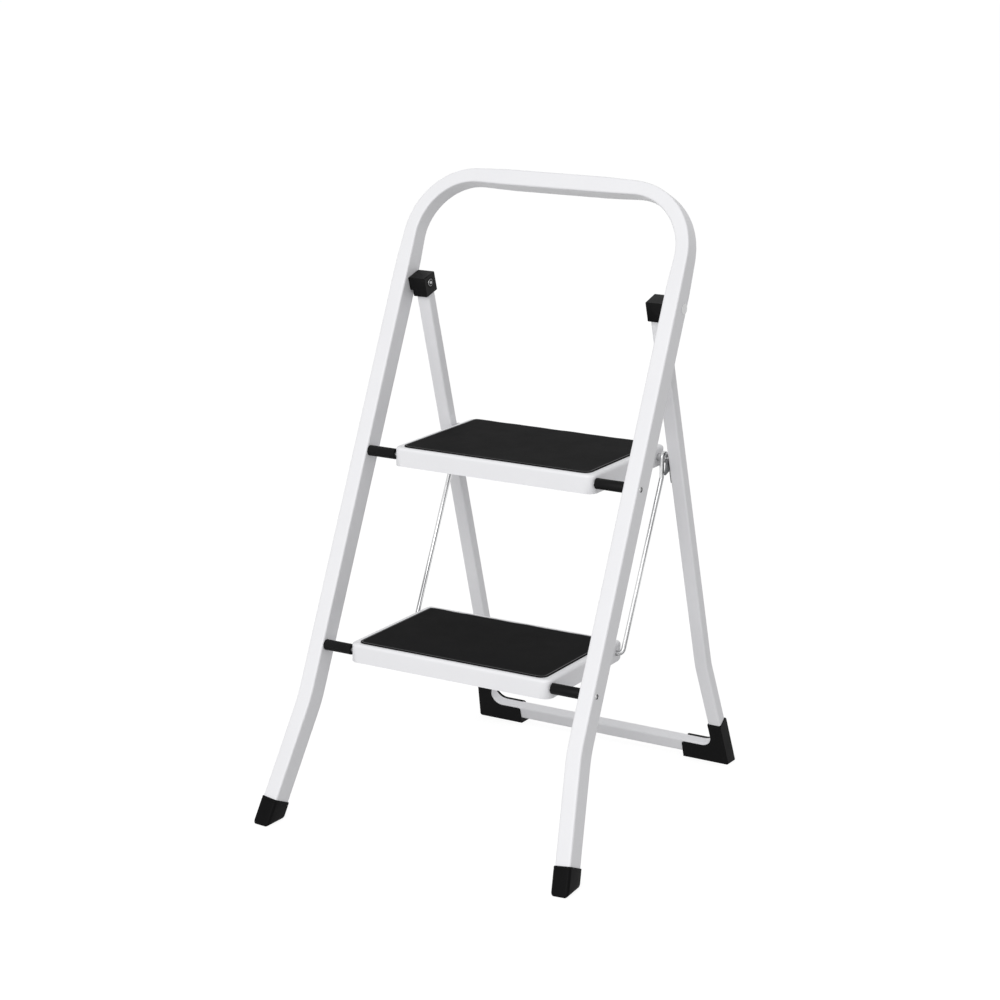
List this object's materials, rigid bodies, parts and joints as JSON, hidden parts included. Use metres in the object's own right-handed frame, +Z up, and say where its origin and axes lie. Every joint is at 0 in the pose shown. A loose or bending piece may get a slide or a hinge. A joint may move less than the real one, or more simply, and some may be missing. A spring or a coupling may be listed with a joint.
{
  "type": "folding step stool",
  "caption": "Folding step stool of bent painted tube with sheet treads under anti-slip mats, a tube handle above, and a rear frame that folds in.",
  "frame": {"origin": "on the floor, under the middle of the open stool's bounding box", "axes": "+X to the right of a person who faces the treads from the front, +Y to the rear, +Z up; open for use"},
  "size_m": [0.4522, 0.5121, 0.7886],
  "materials": {
    "white_paint": "semi-gloss white powder coat",
    "black_plastic": "satin black moulded plastic",
    "mat_rubber": "matte black anti-slip mat with a fine grain",
    "bright_zinc": "bright zinc plate",
    "dark_zinc": "dark zinc plate"
  },
  "bodies": {
    "front_frame_body": {"front_foot_left": "black_plastic", "front_foot_right": "black_plastic", "front_frame": "white_paint", "lower_sleeve_left": "black_plastic", "lower_sleeve_right": "black_plastic", "lower_step_rod": "bright_zinc", "pivot_rivet_left": "bright_zinc", "pivot_rivet_right": "bright_zinc", "upper_sleeve_left": "black_plastic", "upper_sleeve_right": "black_plastic", "upper_step_rod": "bright_zinc"},
    "rear_frame_body": {"hook_plate_left": "dark_zinc", "hook_plate_right": "dark_zinc", "hook_plate_rivets": "bright_zinc", "pivot_block_left": "black_plastic", "pivot_block_right": "black_plastic", "rear_foot_left": "black_plastic", "rear_foot_right": "black_plastic", "rear_frame": "white_paint"},
    "upper_step_body": {"pin_washers": "bright_zinc", "step_pin_left": "bright_zinc", "step_pin_right": "bright_zinc", "upper_step_mat": "mat_rubber", "upper_step_pan": "white_paint"},
    "lower_step_body": {"lower_step_mat": "mat_rubber", "lower_step_pan": "white_paint"},
    "link_left_body": {"link_clip_left": "bright_zinc", "link_rod_left": "bright_zinc"},
    "link_right_body": {"link_clip_right": "bright_zinc", "link_rod_right": "bright_zinc"}
  },
  "joints": [
    {"name": "rear_frame_fold", "type": "hinge", "parent": "front_frame_body", "child": "rear_frame_body", "pos_m": [0, 0.06008, 0.6435], "axis": [1, 0, 0], "range_deg": [-37.2, 0]},
    {"name": "upper_step_fold", "type": "hinge", "parent": "front_frame_body", "child": "upper_step_body", "pos_m": [0, -0.04559, 0.4425], "axis": [1, 0, 0], "range_deg": [0, 62]},
    {"name": "lower_step_fold", "type": "hinge", "parent": "front_frame_body", "child": "lower_step_body", "pos_m": [0, -0.14947, 0.2135], "axis": [1, 0, 0], "range_deg": [0, 62]},
    {"name": "link_left_swing", "type": "hinge", "parent": "upper_step_body", "child": "link_left_body", "pos_m": [0, 0.11494, 0.441], "axis": [1, 0, 0], "range_deg": [-62, 0]},
    {"name": "link_right_swing", "type": "hinge", "parent": "upper_step_body", "child": "link_right_body", "pos_m": [0, 0.11494, 0.441], "axis": [1, 0, 0], "range_deg": [-62, 0]}
  ],
  "couplings": [
    {"joint": "upper_step_fold", "follows": "rear_frame_fold", "ratio": -1.666},
    {"joint": "lower_step_fold", "follows": "rear_frame_fold", "ratio": -1.666},
    {"joint": "link_left_swing", "follows": "rear_frame_fold", "ratio": 1.666},
    {"joint": "link_right_swing", "follows": "rear_frame_fold", "ratio": 1.666}
  ]
}
